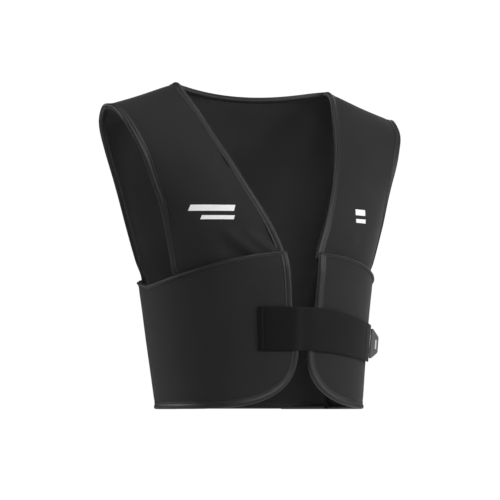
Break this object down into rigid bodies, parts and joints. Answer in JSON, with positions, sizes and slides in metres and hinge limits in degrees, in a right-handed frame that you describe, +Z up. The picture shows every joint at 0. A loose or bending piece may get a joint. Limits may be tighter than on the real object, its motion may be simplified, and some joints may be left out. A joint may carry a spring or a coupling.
{
  "type": "rib protector",
  "caption": "Short padded sleeveless vest in its worn form, with a waist wrap closed at the front by a wide strap with a pull tab.",
  "frame": {"origin": "midway between the two neck points, on the shoulder ridge, where the vest sits on the shoulders", "axes": "+Z up, -Y to the wearer's front, +X to the wearer's left"},
  "size_m": [0.494, 0.2901, 0.4906],
  "materials": {
    "padded_fabric": "matte black knitted fabric over foam",
    "tape": "black stretch binding with a soft sheen",
    "elastic": "black woven elastic with a brushed face",
    "grip_rubber": "satin grey moulded rubber"
  },
  "bodies": {
    "root": {"back_panel": "padded_fabric", "front_shoulder_right": "padded_fabric", "front_shoulder_left": "padded_fabric", "waist_wrap_right": "padded_fabric", "waist_wrap_left": "padded_fabric", "neck_binding": "tape", "back_hem_binding": "tape", "armhole_binding_right": "tape", "armhole_binding_left": "tape", "wrap_edge_binding_right": "tape", "wrap_edge_binding_left": "tape", "wrap_top_binding_right": "tape", "wrap_top_binding_left": "tape", "closure_strap": "elastic", "pull_tab": "grip_rubber"}
  },
  "joints": []
}
